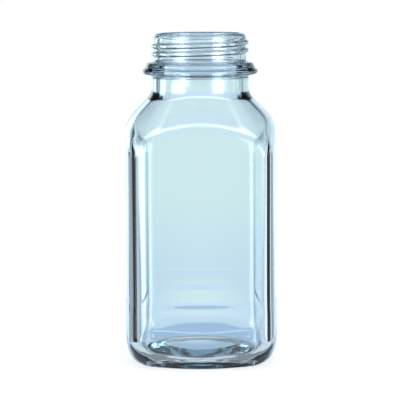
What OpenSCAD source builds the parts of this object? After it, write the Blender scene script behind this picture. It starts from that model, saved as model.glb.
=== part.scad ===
// Square wide-mouth jar with a round screw neck, one hollow glass moulding.
// Millimetres, +Z up, origin at the centre of the base, on the surface it stands on.
// The body is where four simple solids overlap: a front outline pushed straight back, the same
// outline pushed sideways, a turned solid that rounds the corners off into the shoulder and the
// heel, and a square prism with round corners. The hollow is cut the same way, one wall smaller.

/* [Body] */
// Height from the base to the lip
jar_h = 202.4; // [198:0.1:208]
// Width across the widest pair of flat sides
body_w = 93.4; // [90:0.2:98]
// Radius of the upright corners
corner_r = 18; // [12:0.5:19]
// Thickness of the glass wall
wall = 3.4; // [2.4:0.1:3.6]

/* [Label panels] */
// Height at which the recessed panels start
panel_low = 36.5; // [32:0.5:45]
// Height at which the recessed panels have run out into the shoulder band
panel_high = 125; // [110:0.5:130]
// Depth of the panels below the lower band
panel_depth = 0.7; // [0.4:0.1:1.4]
// How much narrower than the lower band the shoulder band is, on each side
shoulder_band_in = 0.5; // [0.3:0.1:0.6]

/* [Shoulder] */
// Height where the shoulder leaves the neck
shoulder_z = 165.4; // [163:0.2:168]
// Fall of the shoulder for each millimetre outwards
shoulder_fall = 1.04; // [0.9:0.02:1.15]
// Radius that rounds the shoulder over into the sides
shoulder_r = 17; // [12:0.5:20]

/* [Heel and base] */
// Radius of the round foot
foot_r = 38.8; // [37:0.2:41]
// Width of the flat ring that it stands on
foot_w = 6; // [4:0.5:8]
// Height of the rounding between the foot and the flat sides
heel_h = 17; // [14:0.5:20]
// Height of the rounding between the foot and the corners
corner_heel_h = 22; // [22:0.5:30]
// Thickness of the base just inside the foot
base_t = 5; // [4.5:0.5:8]
// Rise of the hollow under the base
push_up = 2.6; // [1.5:0.1:4]

/* [Neck] */
// Outer diameter of the neck between the shoulder and the ring
neck_d = 59.8; // [58:0.2:61]
// Bore of the mouth
mouth_d = 50; // [48:0.2:51]
// Diameter of the upper step of the neck ring
ring_upper_d = 67; // [64:0.5:69]
// Diameter of the lower step of the neck ring
ring_lower_d = 72; // [70:0.5:74]
// Height of the underside of the neck ring
ring_z = 177; // [175:0.5:178]
// Thickness of each step of the neck ring
ring_step = 3.8; // [3.4:0.1:4]

/* [Screw thread] */
// Outer diameter of the thread
thread_d = 60; // [59:0.1:60.4]
// Diameter of the neck between the turns
root_d = 56.8; // [56:0.1:57.4]
// Rise of the thread in one turn
pitch = 4.85; // [4.6:0.05:5]
// Number of turns
turns = 2.5; // [1.5:0.25:2.5]
// Height of the start of the thread
thread_z = 187.2; // [186.8:0.1:187.6]

/* [Lip] */
// Outer diameter of the flat sealing face
lip_d = 54.4; // [53.6:0.2:54.8]
// Height of the rounding from the sealing face to the thread
lip_round_h = 3.2; // [2.4:0.1:3.6]
// Rounding on the inner edge of the mouth
lip_inner_r = 0.8; // [0.6:0.1:1.2]

/* [Hidden] */
$fn = 96;

half = body_w / 2;                      // lower band, from the axis to a flat side
arc_steps = 7;                          // straight pieces in a rounded stretch of an outline
corner_at = half - corner_r;            // centre of the corner arcs, on X and on Y
corner_reach = corner_at * sqrt(2) + corner_r;
clear_of_flats = 0.5;                   // the prism stands this far off the flat sides
clear_of_corners = 1.5;                 // the turned solid stands this far off the upright corners
clear_of_cone = 0.4;                    // the slabs stand this far off the shoulder cone
neck_r = neck_d / 2;
mouth_r = mouth_d / 2;
neck_fillet = 3;                        // rounding from the neck into the shoulder
panel_step = 4;                         // height in which the panel drops back
panel_fade = 40;                        // height in which the panel runs out at its top
lens = 1.2;                             // extra thickness of glass at the inner bottom corner
slope_len = sqrt(1 + shoulder_fall * shoulder_fall);

// Radius of the shoulder cone at a height, moved inwards by t, square to the slope.
function cone_r(z, t) = neck_r + (shoulder_z - z) / shoulder_fall - t * slope_len / shoulder_fall;
// Height at which that cone has reached a radius.
function cone_z(r, t) = shoulder_z - (r - neck_r) * shoulder_fall - t * slope_len;

// A quarter of an ellipse from straight down at (r0, z0) to straight out at (r0 + a, z0 + b).
function heel_arc(r0, z0, a, b) =
    [for (i = [0:arc_steps]) [r0 + a * sin(90 * i / arc_steps), z0 + b * (1 - cos(90 * i / arc_steps))]];

// An arc that rounds an upright side at radius r over into the shoulder cone.
function over_arc(r, t, rad) =
    let (lean = atan(1 / shoulder_fall),
         cut = rad * tan(lean / 2),
         z0 = cone_z(r, t) - cut)
    [for (i = [0:arc_steps])
        let (a = lean * i / arc_steps)
        [r - rad * (1 - cos(a)), z0 + rad * sin(a)]];

// Outline of one side seen from the front, from the foot to the shoulder, moved inwards by t.
function side_outline(t, heel_a, heel_b, floor_z) = concat(
    heel_arc(half - t - heel_a, floor_z, heel_a, heel_b),
    [[half - t, panel_low],
     [half - t - panel_depth, panel_low + panel_step],
     [half - t - panel_depth, panel_high - panel_fade],
     [half - t - shoulder_band_in, panel_high]],
    over_arc(half - t - shoulder_band_in, t - clear_of_cone, shoulder_r - t));

// Outline of the turned solid, which binds only at the corners and at the foot.
function turned_outline(t, r0, heel_b, floor_z) = concat(
    heel_arc(r0, floor_z, corner_reach + clear_of_corners - t - r0, heel_b),
    over_arc(corner_reach + clear_of_corners - t, t, shoulder_r - t));

// The outline as a solid slab that runs right through along Y, straight up from its last point.
module slab(pts, top_z) {
    top_r = pts[len(pts) - 1][0];
    left = [for (i = [len(pts) - 1:-1:0]) [-pts[i][0], pts[i][1]]];
    rotate([90, 0, 0])
        linear_extrude(height = 4 * half, center = true)
            polygon(concat(pts, [[top_r, top_z], [-top_r, top_z]], left));
}

// A square prism with round corners.
module round_square_prism(t, low, high) {
    r = corner_r - t + clear_of_flats;
    translate([0, 0, low])
        linear_extrude(height = high - low)
            union() {
                square([2 * corner_at, 2 * (corner_at + r)], center = true);
                square([2 * (corner_at + r), 2 * corner_at], center = true);
                for (x = [-corner_at, corner_at], y = [-corner_at, corner_at])
                    translate([x, y]) circle(r);
            }
}

// The body without its hollow.
module body_outside() {
    top_z = shoulder_z + 2;
    top_r = cone_r(top_z, 0);
    side = side_outline(0, half - foot_r - 0.6, heel_h, 0);
    turned = turned_outline(0, foot_r, corner_heel_h, 0);
    intersection() {
        slab(side, top_z + 1);
        rotate([0, 0, 90]) slab(side, top_z + 1);
        rotate_extrude()
            polygon(concat([[0, 0]], turned, [[top_r, top_z], [0, top_z]]));
        round_square_prism(0, -1, top_z + 2);
    }
}

// The hollow of the body, from the inner base up into the neck.
module body_inside() {
    top_r = mouth_r - 2;
    top_z = cone_z(top_r, wall);
    side = side_outline(wall, 13, 17, base_t);
    turned = turned_outline(wall, foot_r - 12, corner_heel_h, base_t + lens);
    intersection() {
        slab(side, top_z + 1);
        rotate([0, 0, 90]) slab(side, top_z + 1);
        rotate_extrude()
            polygon(concat([[0, base_t + push_up], [14, base_t + lens + 0.5]], turned,
                           [[top_r, top_z], [0, top_z]]));
        round_square_prism(wall, 0, top_z + 2);
    }
}

// Neck, two-step ring and lip as one turned solid, without the mouth.
module neck_outside() {
    root_r = root_d / 2;
    lip_r = lip_d / 2;
    lip_z = jar_h - lip_round_h;
    fillet_r = neck_r + neck_fillet / 2;
    rotate_extrude()
        polygon(concat(
            [[0, shoulder_z - 12], [cone_r(shoulder_z - 3, 0.4), shoulder_z - 3],
             [fillet_r, shoulder_z - 1.2], [neck_r + 0.3, shoulder_z + neck_fillet / 2],
             [neck_r, shoulder_z + neck_fillet], [neck_r, ring_z],
             [ring_lower_d / 2 - 1, ring_z], [ring_lower_d / 2, ring_z + ring_step * 0.6],
             [ring_lower_d / 2 - 0.8, ring_z + ring_step], [ring_upper_d / 2 + 0.3, ring_z + ring_step],
             [ring_upper_d / 2 - 0.2, ring_z + 2 * ring_step - 0.8],
             [ring_upper_d / 2 - 1.2, ring_z + 2 * ring_step], [root_r, ring_z + 2 * ring_step]],
            [for (i = [0:5])
                [root_r - (root_r - lip_r) * (1 - cos(18 * i)), lip_z + lip_round_h * sin(18 * i)]],
            [[0, jar_h]]));
}

// The mouth: a true round bore, eased at its upper edge.
module mouth() {
    low = cone_z(mouth_r, wall) - 2;
    translate([0, 0, low])
        cylinder(r = mouth_r, h = jar_h - low + 1);
    rotate_extrude()
        polygon([[0, jar_h - lip_inner_r], [mouth_r, jar_h - lip_inner_r],
                 [mouth_r + lip_inner_r * 0.3, jar_h - lip_inner_r * 0.3],
                 [mouth_r + lip_inner_r, jar_h], [mouth_r + lip_inner_r, jar_h + 1], [0, jar_h + 1]]);
}

// The screw thread: a low rounded ridge swept up a helix, sunk into the neck and fading at each end.
module thread() {
    steps = 32;                          // sections in one turn
    last = floor(turns * steps);
    fade = steps / 4;                    // sections over which an end rises out of the neck
    buried = 0.7;
    top = (thread_d - root_d) / 2;
    w = pitch * 0.38;                    // half-width of the ridge at the neck
    shape = [[-buried, -w], [top * 0.55, -w * 0.62], [top, -w * 0.22],
             [top, w * 0.22], [top * 0.55, w * 0.62], [-buried, w]];
    k = len(shape);
    function swell(i) = min(1, i / fade, (last - i) / fade);
    points = [for (i = [0:last]) for (p = shape)
        let (r = root_d / 2 + (p[0] + buried) * (0.12 + 0.88 * swell(i)) - buried, a = 360 * i / steps)
        [r * cos(a), r * sin(a), thread_z + pitch * i / steps + p[1]]];
    sides = [for (i = [0:last - 1], j = [0:k - 1])
        [i * k + j, i * k + (j + 1) % k, (i + 1) * k + (j + 1) % k, (i + 1) * k + j]];
    start = [for (j = [k - 1:-1:0]) j];
    end = [for (j = [0:k - 1]) last * k + j];
    polyhedron(points = points, faces = concat(sides, [start], [end]), convexity = 6);
}

// The whole jar as it leaves the mould.
module glass_jar() {
    color([0.78, 0.9, 0.93, 0.6])
        difference() {
            union() {
                body_outside();
                neck_outside();
                thread();
            }
            body_inside();
            mouth();
            // hollow under the base, as a flat dome inside the foot ring
            rotate_extrude()
                polygon(concat([[0, -1], [foot_r - foot_w, -1]],
                    [for (i = [0:6])
                        let (r = (foot_r - foot_w) * (1 - i / 6))
                        [r, push_up * (1 - pow(r / (foot_r - foot_w), 2))]]));
        }
}

glass_jar();
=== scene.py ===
# %% [markdown]
# # A square screw-neck jar in clear glass
# The jar is one glass moulding, so this lesson has one piece and spends its time on two things:
# a closed skin with a real outside, inside and lip, because glass shows every wall it has, and a
# studio whose bright and dark places draw the edges of something that has no colour of its own.

import math

import bpy
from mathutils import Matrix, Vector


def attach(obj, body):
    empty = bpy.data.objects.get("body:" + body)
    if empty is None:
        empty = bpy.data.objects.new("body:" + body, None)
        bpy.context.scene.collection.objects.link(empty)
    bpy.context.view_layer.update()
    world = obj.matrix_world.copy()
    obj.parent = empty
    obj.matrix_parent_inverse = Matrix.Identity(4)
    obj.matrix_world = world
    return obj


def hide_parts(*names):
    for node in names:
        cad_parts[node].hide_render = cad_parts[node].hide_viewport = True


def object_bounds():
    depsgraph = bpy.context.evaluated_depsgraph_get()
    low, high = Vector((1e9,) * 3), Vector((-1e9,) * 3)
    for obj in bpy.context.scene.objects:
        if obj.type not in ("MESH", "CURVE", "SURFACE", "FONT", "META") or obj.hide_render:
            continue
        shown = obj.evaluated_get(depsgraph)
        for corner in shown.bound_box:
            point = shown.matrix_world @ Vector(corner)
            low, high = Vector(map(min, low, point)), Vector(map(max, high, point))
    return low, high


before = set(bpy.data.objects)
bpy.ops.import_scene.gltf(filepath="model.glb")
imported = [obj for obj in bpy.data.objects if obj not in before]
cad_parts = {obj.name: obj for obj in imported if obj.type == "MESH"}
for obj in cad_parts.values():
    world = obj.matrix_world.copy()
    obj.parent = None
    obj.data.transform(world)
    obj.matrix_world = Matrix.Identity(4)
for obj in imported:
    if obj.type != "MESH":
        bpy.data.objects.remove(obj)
cad_low, cad_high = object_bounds()
MM = 0.001
SCENE = bpy.context.scene
print("CAD box in mm:", [round(v / MM, 2) for v in (*cad_low, *cad_high)])

# %% [markdown]
# ## Camera
# A long lens far from the jar keeps its sides nearly upright. The camera stands a little above
# the lip and looks down by a few degrees, so that the lip is a thin ellipse and the foot is round.

# %% Camera
CAMERA_DISTANCE = 1.5
CAMERA_HEIGHT = 0.2521
CAMERA_PITCH = 5.81  # degrees below the horizon
CAMERA_TURN = 0.0  # degrees round the jar, towards +X
CAMERA_ROLL = -0.3  # degrees, a camera that doesn't stand quite level
CAMERA_SHIFT = -0.002  # part of the picture's width
LENS = 219.7  # mm, on the default 36 mm sensor


def add_camera():
    turn = math.radians(CAMERA_TURN)
    place = (CAMERA_DISTANCE * math.sin(turn), -CAMERA_DISTANCE * math.cos(turn), CAMERA_HEIGHT)
    bpy.ops.object.camera_add(location=place, rotation=(math.radians(90 - CAMERA_PITCH), 0, turn))
    camera = bpy.context.object
    camera.data.lens = LENS
    camera.data.clip_start = 0.05
    camera.data.shift_x = CAMERA_SHIFT
    camera.rotation_euler.rotate_axis("Z", math.radians(CAMERA_ROLL))
    SCENE.camera = camera
    return camera


camera = add_camera()
print("camera at", [round(v, 3) for v in camera.location])

# %% [markdown]
# ## The outline of the jar
# Every level of the body has two sizes: how far a flat side is from the axis, and how far a corner
# is. At the foot and at the neck they are equal, so the section is round. In the body the corner is
# further out, so it is a square with round corners. Both come from a few sizes of the jar.

# %% Sizes of the jar in millimetres
HALF = cad_high[0] / MM  # the widest flat side, from the axis
TOP = cad_high[2] / MM
CORNER_R = 18.0  # the finished corner
OUTLINE_R = 9.0  # corner of the ring before it is rounded, which leaves the sides a little bulged
INNER_OUTLINE_R = 12.0
REACH = (HALF - CORNER_R) * math.sqrt(2) + CORNER_R  # a corner, from the axis
NECK_R = 29.9
SHOULDER_Z = 165.4  # where the shoulder cone meets the neck
FALL = 1.04  # how far the cone falls for each millimetre outwards
SLOPE = math.hypot(1, FALL)
FOOT_R = 38.8
FLOOR_Z = 5.0  # the inner floor, at the edge of its low dome
WALL = 3.5
CORNER_GLASS = 2.9  # how much thicker the wall is in a corner
PANEL_IN = 0.7  # depth of the label panels
BAND_IN = 0.5  # how far the top of the panels and the corners stay in
print("corner reaches", round(REACH, 2), "mm")


# %% Helpers for the outline
def ease(a, b, x):
    """0 below a, 1 above b, and a smooth rise between them."""
    t = min(1, max(0, (x - a) / (b - a)))
    return t * t * (3 - 2 * t)


def soft_min(a, b, r):
    """The smaller of a and b, rounded over a range of r where they cross."""
    h = max(r - abs(a - b), 0) / r
    return min(a, b) - h * h * r / 4


def cone(z, inset=0.0):
    """Radius of the shoulder cone at a height."""
    return NECK_R + (SHOULDER_Z - z) / FALL - inset * SLOPE / FALL


def heel(z, low, foot, full, height):
    """Quarter ellipse from the foot's radius out to the full size."""
    t = min(1, max(0, (z - low) / height))
    return foot + (full - foot) * math.sqrt(1 - (1 - t) ** 2)


def squareness(angle, corner_r):
    """0 in the middle of a side, 1 at a corner, from a square with round corners."""
    a = abs((angle + math.pi / 4) % (math.pi / 2) - math.pi / 4)
    r = corner_r / HALF
    c = 1 - r
    if math.tan(a) < c:
        reach = 1 / math.cos(a)
    else:
        b = c * (math.cos(a) + math.sin(a))
        reach = b + math.sqrt(b * b - 2 * c * c + r * r)
    return (reach - 1) / (c * math.sqrt(2) + r - 1)


def outside(z, corner):
    """Distance of the outer skin from the axis, from the middle of a side (0) to a corner (1)."""
    flat = HALF - PANEL_IN * ease(37.3, 41.5, z) + (PANEL_IN - BAND_IN) * ease(80, 125, z)
    reach = REACH - BAND_IN * ease(40, 120, z)
    full = flat + (reach - flat) * corner
    return min(soft_min(full, cone(z), 6), heel(z, 0, FOOT_R, full, 17 + 4 * corner))


def inside(z, corner):
    """The same for the inner skin."""
    flat = HALF - WALL - 0.7 * ease(30, 46, z) + 0.3 * ease(80, 125, z)
    reach = REACH - WALL - CORNER_GLASS
    full = flat + (reach - flat) * corner
    return min(soft_min(full, cone(z, WALL), 5), heel(z, FLOOR_Z, 32.5, full, 18 - 5 * corner))


print("outside at 100 mm:", [round(outside(100, corner), 2) for corner in (0, 1)])


# %% [markdown]
# ## Skins drawn from one ring
# The body starts as a flat square whose corners are bevelled round. Only its outline is kept.
# The outline is extruded level by level. At each level "to sphere" rounds it just enough, and a
# resize brings it to its size, so that the flat side and the corner both land where they should.
# Rounding can't be undone, so each skin is drawn from the middle, first upwards and then downwards.


# %% Ring tools
def edit(obj):
    if bpy.context.mode != "OBJECT":
        bpy.ops.object.mode_set(mode="OBJECT")
    bpy.ops.object.select_all(action="DESELECT")
    obj.select_set(True)
    bpy.context.view_layer.objects.active = obj
    bpy.ops.object.mode_set(mode="EDIT")


def object_mode():
    bpy.ops.object.mode_set(mode="OBJECT")


def select_verts(obj, test):
    """Selects the vertices whose place in mm passes the test. Leaves edit mode on."""
    edit(obj)
    bpy.ops.mesh.select_mode(type="VERT")
    bpy.ops.mesh.select_all(action="DESELECT")
    object_mode()
    count = 0
    for vert in obj.data.vertices:
        vert.select = test(*(v / MM for v in vert.co))
        count += vert.select
    edit(obj)
    return count


def to_size(radii, flat, corner):
    """Rounds and resizes the selected ring. Takes and returns its radii, in mm."""
    low, high = min(radii), max(radii)
    mean = sum(radii) / len(radii)
    ratio = corner / flat
    spare = high - ratio * low
    part = 0.0 if spare < 1e-6 else 1 / (1 + mean * (ratio - 1) / spare)
    if part > 1e-6:
        bpy.ops.transform.tosphere(value=part)
    radii = [r * (1 - part) + mean * part for r in radii]
    scale = flat / min(radii)
    bpy.ops.transform.resize(value=(scale, scale, 1))
    return [r * scale for r in radii]


def draw_rings(radii, z, levels):
    """Extrudes the selected ring through the levels, each (height, flat, corner)."""
    for height, flat, corner in levels:
        step = (0, 0, (height - z) * MM)
        bpy.ops.mesh.extrude_region_move(TRANSFORM_OT_translate={"value": step})
        radii = to_size(radii, flat, corner)
        z = height
    return radii


def skin(name, middle, shape, upward, downward):
    """An open tube through the levels above and below its middle, capped at the bottom."""
    bpy.ops.mesh.primitive_plane_add(size=2 * HALF * MM, location=(0, 0, middle * MM))
    obj = bpy.context.object
    obj.name = name
    bpy.ops.object.transform_apply(location=True, rotation=True, scale=True)
    edit(obj)
    bpy.ops.mesh.select_all(action="SELECT")
    bpy.ops.mesh.bevel(offset=OUTLINE_R * MM, segments=6, affect="VERTICES", clamp_overlap=False)
    bpy.ops.mesh.select_all(action="SELECT")
    bpy.ops.mesh.delete(type="ONLY_FACE")
    object_mode()
    for edge in obj.data.edges:
        a, b = (obj.data.vertices[i].co for i in edge.vertices)
        edge.select = (a - b).length > 10 * MM
    edit(obj)
    bpy.ops.mesh.select_mode(type="EDGE")
    bpy.ops.mesh.subdivide(number_cuts=7)
    object_mode()
    outline = [math.hypot(v.co.x, v.co.y) / MM for v in obj.data.vertices]
    select_verts(obj, lambda x, y, z: True)
    start = to_size(outline, shape(middle, 0), shape(middle, 1))
    draw_rings(start, middle, upward)
    select_verts(obj, lambda x, y, z: abs(z - middle) < 0.01)
    draw_rings(start, middle, downward)
    bpy.ops.mesh.fill_grid(span=14)
    object_mode()
    print(name, len(obj.data.vertices), "vertices")
    return obj


# %% Outer skin
def round_level(z, r):
    """A level whose section is a circle."""
    return (z, r, r)


def body_level(shape, z):
    """A level of the square body."""
    return (z, shape(z, 0), shape(z, 1))


BODY_UP = (90, 103, 114, 122, 128, 132, 136, 140, 144, 148, 152, 156, 160, 163)
BODY_DOWN = (60, 48, 42, 40.2, 38.5, 36.8, 34, 29, 24, 19, 14.5, 10.5, 7, 4, 2, 0.6)
RING_Z = 177.0
NECK_UP = (
    (165.2, 31.0), (167, 30.0), (171, 29.9), (175.8, 29.9), (177.0, 30.6), (177.1, 33.5),
    (177.8, 35.3), (179.2, 35.9), (180.4, 35.4), (180.9, 34.1), (182.2, 33.5), (183.7, 33.2),
    (184.5, 32.0), (184.7, 29.6), (185.4, 28.4),
)
THREAD_Z = (187, 188.6, 190.2, 191.8, 193.4, 195, 196.6, 198.2)
LIP_UP = ((199.6, 28.35), (200.9, 28.1), (201.8, 27.6), (202.3, 27.0), (202.4, 26.4))
outer_up = [body_level(outside, z) for z in BODY_UP]
outer_up += [round_level(z, r) for z, r in NECK_UP]
outer_up += [round_level(z, 28.4) for z in THREAD_Z]
outer_up += [round_level(z, r) for z, r in LIP_UP]
UNDER = ((0.0, 37.4), (0.0, 34.8), (0.4, 32.4), (1.3, 27), (2.1, 20), (2.5, 13))
outer_down = [body_level(outside, z) for z in BODY_DOWN]
outer_down += [round_level(z, r) for z, r in UNDER]
outer = skin("outer_skin", 75, outside, outer_up, outer_down)

# %% Inner skin
MOUTH_DOWN = (
    (163.6, 26.8), (166, 25.2), (170, 25.0), (180, 25.0), (190, 25.0), (198.5, 25.0),
    (201.2, 25.05), (202.0, 25.3),
)
INNER_UP = (92, 107, 118, 126, 132, 138, 144, 150, 156, 161)
INNER_DOWN = (58, 47, 41, 36, 31, 26, 21, 16.5, 12, 8.5, 6.3, 5.3)
inner_up = [body_level(inside, z) for z in INNER_UP]
inner_up += [round_level(z, r) for z, r in MOUTH_DOWN]
inner_down = [body_level(inside, z) for z in INNER_DOWN]
inner_down += [round_level(z, r) for z, r in ((5.1, 29.5), (5.6, 25), (6.6, 18), (7.4, 11))]
inner = skin("inner_skin", 75, inside, inner_up, inner_down)

# %% [markdown]
# ## One closed moulding
# The two skins are joined and bridged over the lip, which closes the glass. Its normals are then
# recalculated, so that they all point out of the glass, into the room or into the hollow.


# %% Join the skins at the lip
def close_lip():
    bpy.ops.object.select_all(action="DESELECT")
    inner.select_set(True)
    outer.select_set(True)
    bpy.context.view_layer.objects.active = outer
    bpy.ops.object.join()
    select_verts(outer, lambda x, y, z: z > 201.95 and math.hypot(x, y) < 26.5)
    bpy.ops.mesh.select_mode(type="EDGE")
    bpy.ops.mesh.bridge_edge_loops()
    bpy.ops.mesh.select_all(action="SELECT")
    bpy.ops.mesh.normals_make_consistent(inside=False)
    object_mode()
    outer.name = "jar_glass"
    outer.data.name = "jar_glass"
    return outer


def add_modifier(obj, kind, **settings):
    bpy.context.view_layer.objects.active = obj
    bpy.ops.object.modifier_add(type=kind)
    modifier = obj.modifiers[-1]
    for key, value in settings.items():
        setattr(modifier, key, value)
    bpy.ops.object.modifier_apply(modifier=modifier.name)


jar = close_lip()
add_modifier(jar, "SUBSURF", levels=2, render_levels=2)
print("jar", len(jar.data.vertices), "vertices", len(jar.data.polygons), "faces")

# %% [markdown]
# ## The arch where a side meets the shoulder
# The shoulder is a cone and the sides are flat, so they meet in an arch over each panel. A ring that
# is only rounded blurs that arch. A Cast modifier moves each vertex of the fine skin towards a
# cylinder by its weight, so a weight worked out per vertex brings the skins to the exact outline.


# %% Cast the skins to the outline
def paint(obj, name, weight):
    """A vertex group with a weight for every vertex, from its place in mm."""
    group = obj.vertex_groups.new(name=name)
    for vert in obj.data.vertices:
        amount = weight(*(v / MM for v in vert.co))
        if amount > 0:
            group.add([vert.index], amount, "REPLACE")


def wanted_radius(x, y, z):
    """Radius that the outline wants here, or the present one outside the square body."""
    r = math.hypot(x, y)
    angle = math.atan2(y, x)
    outer_r = outside(z, squareness(angle, OUTLINE_R))
    inner_r = inside(z, squareness(angle, INNER_OUTLINE_R))
    if abs(r - outer_r) < abs(r - inner_r):
        return outer_r if 0.8 < z < 163 else r
    return inner_r if 6.0 < z < 161 else r


CAST_OUT = 90  # radius of the cylinder that skins are cast out to
CAST_IN = 5  # and in to


def cast_to_outline(obj):
    for name, size, sign in (("grow", CAST_OUT, 1), ("shrink", CAST_IN, -1)):
        def weight(x, y, z):
            r = math.hypot(x, y)
            missing = (wanted_radius(x, y, z) - r) * sign
            return missing / abs(size - r) if missing > 1e-4 else 0.0
        paint(obj, name, weight)
        add_modifier(
            obj, "CAST", cast_type="CYLINDER", factor=1.0, radius=0.0, size=size * MM,
            vertex_group=name, use_radius_as_size=False,
        )


cast_to_outline(jar)
near_150 = [v.co for v in jar.data.vertices if abs(v.co.z / MM - 150) < 1]
radii = [math.hypot(co.x, co.y) / MM for co in near_150]
print("radii at 150 mm:", round(min(radii), 2), round(max(radii), 2))

# %% [markdown]
# ## Screw thread
# The thread is a low rounded ridge that climbs the neck. The neck's skin is fine enough to carry it,
# so the ridge is painted as a weight along a helix and then pushed out by a Displace modifier.

# %% Thread
THREAD_START_Z = 187.2
PITCH = 4.85
TURNS = 2.5
RIDGE = 1.6
RIDGE_HALF_WIDTH = 1.75
RUN_OUT = 0.25  # the part of a turn over which each end of the ridge fades


def thread_weight(x, y, z):
    if math.hypot(x, y) < 27.5 or not 184.7 < z < 202:
        return 0.0
    angle = math.atan2(y, x) / math.tau % 1
    best = 0.0
    for turn in range(4):
        along = angle + turn
        if along > TURNS:
            continue
        off = abs(z - THREAD_START_Z - PITCH * along) / RIDGE_HALF_WIDTH
        if off < 1:
            swell = min(1, along / RUN_OUT, (TURNS - along) / RUN_OUT)
            best = max(best, ease(0.0, 0.55, 1 - off) * swell)
    return best


paint(jar, "thread", thread_weight)
add_modifier(jar, "DISPLACE", vertex_group="thread", strength=RIDGE * MM, mid_level=0.0)
print("thread of", TURNS, "turns,", PITCH, "mm apart")

# %% [markdown]
# ## Crinkled base
# The mould plate and the cooling belt leave the underside of a jar uneven. A cloud texture displaces
# it by a few tenths of a millimetre, inside the ring that the jar stands on. Its middle level is 1,
# so it only moves the skin up into the glass and the jar never sinks below the floor.

# %% Base
CRINKLE = 0.8


crinkle = bpy.data.textures.new("crinkle", "CLOUDS")
crinkle.noise_scale = 0.004
crinkle.noise_depth = 1


def base_weight(x, y, z):
    r = math.hypot(x, y)
    return 0.0 if z > 3.2 else ease(24, 29, r) * (1 - ease(34.0, 36.6, r))


paint(jar, "base", base_weight)
add_modifier(jar, "DISPLACE", vertex_group="base", strength=CRINKLE * MM, mid_level=1.0,
             texture=crinkle, texture_coords="LOCAL")
print("base crinkled by up to", CRINKLE, "mm")

# %% Finish the mesh
edit(jar)
bpy.ops.mesh.select_all(action="SELECT")
bpy.ops.mesh.normals_make_consistent(inside=False)
object_mode()
bpy.ops.object.shade_smooth()
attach(jar, "root")
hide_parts("glass_jar")
box = [[f(v.co[i] for v in jar.data.vertices) / MM for i in range(3)] for f in (min, max)]
print("jar box", [[round(v, 2) for v in row] for row in box])


# %% [markdown]
# ## Arithmetic on shader values
# Patterns and lights are sums and products of sockets. A small class gives a socket the usual
# operators, so that a pattern reads as a formula, and one function makes every other node.


# %% Node maths
class Socket:
    """A shader value or colour, with arithmetic that adds the nodes for it."""

    def __init__(self, link):
        self.link = link
        self.tree = link.id_data

    def maths(self, operation, a, b):
        node = self.tree.nodes.new("ShaderNodeMath")
        node.operation = operation
        for place, value in zip(node.inputs, (a, b)):
            join(self.tree, value, place)
        return Socket(node.outputs[0])

    def __add__(self, other):
        return self.maths("ADD", self, other)

    def __radd__(self, other):
        return self.maths("ADD", other, self)

    def __sub__(self, other):
        return self.maths("SUBTRACT", self, other)

    def __rsub__(self, other):
        return self.maths("SUBTRACT", other, self)

    def __mul__(self, other):
        return self.maths("MULTIPLY", self, other)

    def __rmul__(self, other):
        return self.maths("MULTIPLY", other, self)

    def __truediv__(self, other):
        return self.maths("DIVIDE", self, other)

    def __abs__(self):
        return self.maths("ABSOLUTE", self, 0.0)


def join(tree, value, place):
    """Links a socket to an input, or writes a constant there."""
    if isinstance(value, Socket):
        tree.links.new(value.link, place)
    else:
        place.default_value = value


def add_node(tree, kind, output, settings=(), **inputs):
    """Any other node. Returns one of its outputs; a space in an input's name is written as _."""
    node = tree.nodes.new(kind)
    for key, value in dict(settings).items():
        setattr(node, key, value)
    for key, value in inputs.items():
        place = node.inputs[key.replace("_", " ")]
        join(tree, value, place)
    return Socket(node.outputs[output])


def step_up(x, low, high):
    """0 below low, 1 above high, smooth between."""
    return add_node(
        x.tree, "ShaderNodeMapRange", "Result", {"interpolation_type": "SMOOTHSTEP"},
        Value=x, From_Min=low, From_Max=high,
    )


def blend(a, b, amount):
    """Colour a at amount 0 and colour b at amount 1."""
    node = amount.tree.nodes.new("ShaderNodeMix")
    node.data_type = "RGBA"
    join(amount.tree, amount, node.inputs[0])
    join(amount.tree, a, node.inputs[6])
    join(amount.tree, b, node.inputs[7])
    return Socket(node.outputs[2])


# %% [markdown]
# ## Glass
# Soda-lime glass has a refractive index of about 1.5, and takes a little light out, mostly red, over
# a few millimetres. A Volume Absorption node does that by distance, as the real colour does: one wall
# looks nearly clear, while light that runs along inside a wall or a corner comes out darker and
# bluer. No colour is painted on the surface. The index is a usual value, not a measured one.

# %% Glass
GLASS_TINT = (0.45, 0.62, 0.70, 1)
GLASS_DENSITY = 40
GLASS_IOR = 1.5


def glass():
    material = bpy.data.materials.new("clear_glass")
    material.use_nodes = True
    tree = material.node_tree
    shader = tree.nodes["Principled BSDF"]
    shader.inputs["Base Color"].default_value = (1, 1, 1, 1)
    shader.inputs["Roughness"].default_value = 0.0
    shader.inputs["Transmission Weight"].default_value = 1.0
    shader.inputs["IOR"].default_value = GLASS_IOR
    tint = add_node(
        tree, "ShaderNodeVolumeAbsorption", "Volume", Color=GLASS_TINT, Density=GLASS_DENSITY
    )
    tree.links.new(tint.link, tree.nodes["Material Output"].inputs["Volume"])
    return material


jar.data.materials.clear()
jar.data.materials.append(glass())
red_per_metre = GLASS_DENSITY * (1 - GLASS_TINT[0])
print("glass takes", round(1 - math.exp(-red_per_metre * 2 * WALL * MM), 2), "of red in two walls")

# %% [markdown]
# ## Floor
# A white card under the jar, which takes its shadow. The camera sees it partly as plain white, so
# that it runs into the white background. Light that passes through the glass, or that the glass
# reflects, doesn't meet the card: it meets the studio, as if the jar stood on a sheet of glass.

# %% Floor
FLOOR_R = 0.5
FLOOR_WHITE = 0.7  # how much of it the camera sees as plain white
FLOOR_GLOW = 1.1


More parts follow.
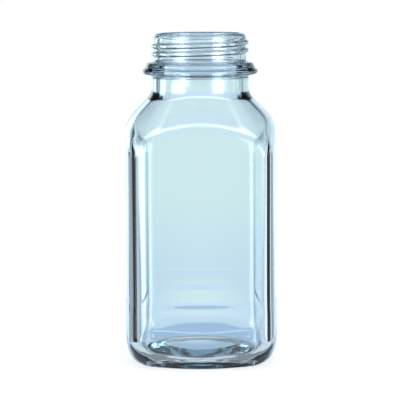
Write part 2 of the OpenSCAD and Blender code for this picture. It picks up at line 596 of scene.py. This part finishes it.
def add_floor():
    bpy.ops.mesh.primitive_circle_add(vertices=96, radius=FLOOR_R, fill_type="NGON")
    disc = bpy.context.object
    disc.name = "floor"
    material = bpy.data.materials.new("white_card")
    material.use_nodes = True
    tree = material.node_tree
    shader = tree.nodes["Principled BSDF"]
    shader.inputs["Base Color"].default_value = (0.8, 0.8, 0.8, 1)
    shader.inputs["Roughness"].default_value = 0.9
    shader.inputs["Specular IOR Level"].default_value = 0.0
    white = add_node(tree, "ShaderNodeEmission", "Emission", Color=(1, 1, 1, 1), Strength=FLOOR_GLOW)
    seen = add_node(tree, "ShaderNodeLightPath", "Is Camera Ray")
    mix = tree.nodes.new("ShaderNodeMixShader")
    join(tree, seen * FLOOR_WHITE, mix.inputs[0])
    tree.links.new(shader.outputs[0], mix.inputs[1])
    tree.links.new(white.link, mix.inputs[2])
    tree.links.new(mix.outputs[0], tree.nodes["Material Output"].inputs["Surface"])
    disc.data.materials.append(material)
    disc.visible_transmission = False
    disc.visible_glossy = False
    return disc


floor = add_floor()
print("floor", round(2 * FLOOR_R, 2), "m across")

# %% [markdown]
# ## Studio
# Clear glass shows only what stands round it, so the studio is painted on the world by direction.
# Behind the jar is a pale wall that gets bluer towards a table's edge. Round the horizon runs a ring
# of lights and dark cards: bright strips beside the wall give the white lines inside the corners,
# dark cards further round give their black edges, and two soft boxes in front shine in the neck.
# An overhead light at the sides and the front draws the arch where a panel meets the shoulder.
# A camera ray that misses everything sees plain white, and the floor is lit by plain white too.

# %% Studio
WALL_TOP = (0.83, 1.02, 1.15, 1)
WALL_HIGH = (0.85, 1.09, 1.11, 1)
WALL_LOW = (0.74, 0.96, 1.12, 1)
TABLE = (0.50, 0.72, 0.99, 1)
UNDER_TABLE = (0.32, 0.34, 0.34, 1)
ROOM = (0.84, 0.96, 1.05, 1)
WHITE = (1, 1, 1, 1)
WALL_HALF = 36  # degrees from the middle of the wall to its edges
# Heights in degrees over which one colour of the wall gives way to the next
UNDER_TABLE_TO_TABLE = (-36, -26)
TABLE_TO_LOW = (-14.4, -13.6)
LOW_TO_HIGH = (-8.2, -5.6)
HIGH_TO_TOP = (-3.5, 1)


def card(azimuth, height, left, right, low, high, soft=4.0):
    """1 inside a patch of directions, in degrees round from +Y and above level, else 0."""
    across = step_up(azimuth, left - soft, left + soft) - step_up(azimuth, right - soft, right + soft)
    up = step_up(height, low - soft, low + soft) - step_up(height, high - soft, high + soft)
    return across * up


# The ring: (degrees round from +Y, strength)
RING = (
    (-164, 0.2), (-150, 0.9), (-132, 3.6), (-122, 3.0), (-108, 0.9), (-86, 0.9), (-80, 0.0),
    (-61, 0.0), (-57, 0.4), (-42, 0.6), (-39, 0.0), (-37, 0.0), (-34, 0.5), (-26, 2.0), (-20, 2.0),
    (-14, 0.95), (12, 0.95), (15, 1.2), (18, 0.9), (36, 0.85), (45, 0.4), (52, 1.1), (55, 0.0),
    (72, 0.0), (77, 1.3), (90, 1.0), (102, 0.4), (114, 0.8), (130, 4.4), (148, 1.6), (162, 0.2),
)
RING_TOP = 5.0
SOFT_BOXES = ((-141, -110), (121, 149))
SOFT_BOX = 6.0
SOFT_BOX_HEIGHTS = (-3.8, 30)
RING_LOW = (-13, -11)  # heights over which the ring starts
RING_HIGH = (10, 22)  # and ends
BELOW = 0.93  # strength of everything lower than the ring
CEILING = 0.07  # and of everything higher than it
OVERHEAD = 6.0
OVERHEAD_HEIGHTS = (50, 58)
FULL_CIRCLE = (-200, 200)


def ring_light(azimuth):
    """The strength of the ring in a direction."""
    ramp = azimuth.tree.nodes.new("ShaderNodeValToRGB")
    join(azimuth.tree, azimuth / 360 + 0.5, ramp.inputs[0])
    stops = ramp.color_ramp.elements
    while len(stops) < len(RING):
        stops.new(0.5)
    for stop, (degrees, strength) in zip(stops, RING):
        stop.position = degrees / 360 + 0.5
        stop.color = (*(strength / RING_TOP,) * 3, 1)
    return Socket(ramp.outputs[0]) * RING_TOP


def add_studio():
    world = bpy.data.worlds.new("studio")
    SCENE.world = world
    world.use_nodes = True
    tree = world.node_tree
    tree.nodes.clear()
    way = add_node(tree, "ShaderNodeTexCoord", "Generated")
    split = tree.nodes.new("ShaderNodeSeparateXYZ")
    tree.links.new(way.link, split.inputs[0])
    x, y, z = (Socket(split.outputs[i]) for i in range(3))
    azimuth = x.maths("ARCTAN2", x, y) * (180 / math.pi)
    height = z.maths("ARCSINE", z, 0.0) * (180 / math.pi)
    wall = blend(WALL_LOW, WALL_HIGH, step_up(height, *LOW_TO_HIGH))
    wall = blend(TABLE, wall, step_up(height, *TABLE_TO_LOW))
    wall = blend(UNDER_TABLE, wall, step_up(height, *UNDER_TABLE_TO_TABLE))
    wall = blend(wall, WALL_TOP, step_up(height, *HIGH_TO_TOP))
    color = blend(ROOM, wall, card(azimuth, height, -WALL_HALF, WALL_HALF, -95, 40))
    below = 1 - step_up(height, *RING_LOW)
    above = step_up(height, *RING_HIGH)
    strength = ring_light(azimuth) * (1 - below - above) + BELOW * below + CEILING * above
    for left, right in SOFT_BOXES:
        strength = strength + SOFT_BOX * card(azimuth, height, left, right, *SOFT_BOX_HEIGHTS, 1.0)
    overhead = card(azimuth, height, *FULL_CIRCLE, *OVERHEAD_HEIGHTS, 2.0)
    strength = strength + OVERHEAD * step_up(abs(azimuth), 60, 90) * overhead
    lit = add_node(tree, "ShaderNodeBackground", "Background", Color=color, Strength=strength)
    plain = add_node(tree, "ShaderNodeBackground", "Background", Color=WHITE, Strength=1.0)
    mix = tree.nodes.new("ShaderNodeMixShader")
    camera_ray = add_node(tree, "ShaderNodeLightPath", "Is Camera Ray")
    diffuse_ray = add_node(tree, "ShaderNodeLightPath", "Is Diffuse Ray")
    join(tree, camera_ray + diffuse_ray, mix.inputs[0])
    tree.links.new(lit.link, mix.inputs[1])
    tree.links.new(plain.link, mix.inputs[2])
    final = tree.nodes.new("ShaderNodeOutputWorld")
    tree.links.new(mix.outputs[0], final.inputs["Surface"])
    return world


add_studio()
SCENE.view_settings.view_transform = "Standard"
print("studio of", len(SCENE.world.node_tree.nodes), "nodes")
